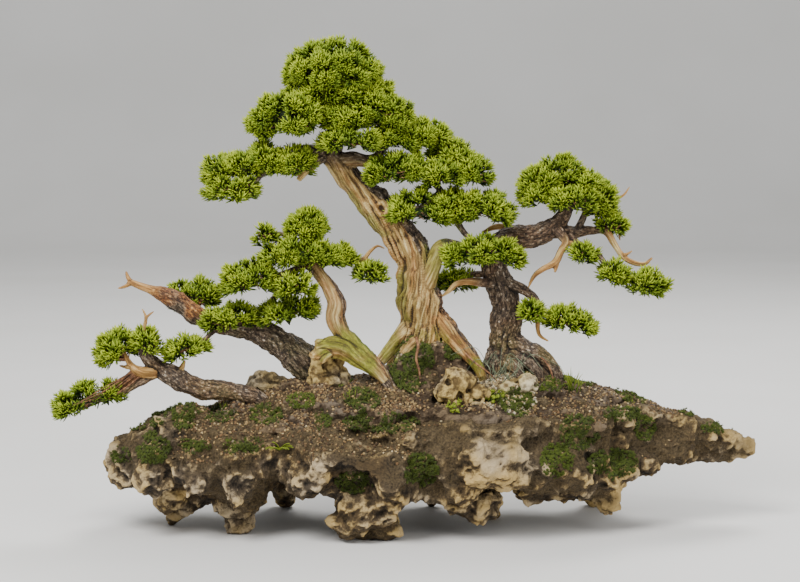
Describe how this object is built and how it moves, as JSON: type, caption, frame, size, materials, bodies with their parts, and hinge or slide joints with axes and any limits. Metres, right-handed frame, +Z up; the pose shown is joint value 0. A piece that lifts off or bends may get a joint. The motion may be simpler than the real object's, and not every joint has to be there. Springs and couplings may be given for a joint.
{
  "type": "juniper bonsai grove on a rock slab",
  "caption": "Miniature juniper grove with clipped foliage pads, bleached dead branches and exposed roots, growing in a mossy soil mound on a craggy stone slab that stands on its own feet.",
  "frame": {"origin": "on the surface the slab stands on, under the middle of the grove's bounding box", "axes": "+Z up, +X along the slab towards its pointed tail, -Y towards the grove's front"},
  "size_m": [0.7714, 0.2583, 0.5347],
  "materials": {
    "rock": "weathered pitted limestone, cream on its broken faces and grey-brown on top",
    "soil": "peaty muck strewn with buff and orange grit",
    "accent_stone": "pale holed tufa",
    "moss": "low living moss",
    "wood": "flaky grey-brown bark, with bleached bare deadwood",
    "foliage": "dense scale-leaved shoots, bright green at the tips"
  },
  "bodies": {
    "root": {"rock_slab": "rock", "soil_mound": "soil", "holed_stone": "accent_stone", "grey_stone": "accent_stone", "split_stone": "accent_stone", "white_stone": "accent_stone", "left_moss": "moss", "middle_moss": "moss", "hollow_moss": "moss", "ledge_moss": "moss", "crest_moss": "moss", "far_moss": "moss", "main_tree_wood": "wood", "middle_tree_wood": "wood", "leaning_tree_wood": "wood", "cascade_tree_wood": "wood", "right_tree_wood": "wood", "main_crown_top": "foliage", "main_crown_left": "foliage", "main_crown_right": "foliage", "main_crown_front": "foliage", "main_crown_back": "foliage", "main_right_shoulder": "foliage", "main_right_slope": "foliage", "main_inner_right": "foliage", "main_outer_right": "foliage", "main_far_right": "foliage", "main_hanging_inner": "foliage", "main_hanging_outer": "foliage", "main_lowest": "foliage", "main_left_near": "foliage", "main_left_upper": "foliage", "main_left_far": "foliage", "main_left_low": "foliage", "middle_top": "foliage", "middle_twig": "foliage", "middle_upper": "foliage", "middle_left": "foliage", "middle_low": "foliage", "middle_right": "foliage", "middle_far_right": "foliage", "leaning_back": "foliage", "leaning_middle": "foliage", "leaning_right": "foliage", "leaning_low": "foliage", "cascade_top_left": "foliage", "cascade_top_right": "foliage", "cascade_tail": "foliage", "right_crown_top": "foliage", "right_crown_left": "foliage", "right_crown_front": "foliage", "right_crown_right": "foliage", "right_tip": "foliage", "right_under": "foliage", "right_hanging_near": "foliage", "right_hanging_far": "foliage", "right_low_near": "foliage", "right_low_far": "foliage", "right_back_left": "foliage"}
  },
  "joints": []
}
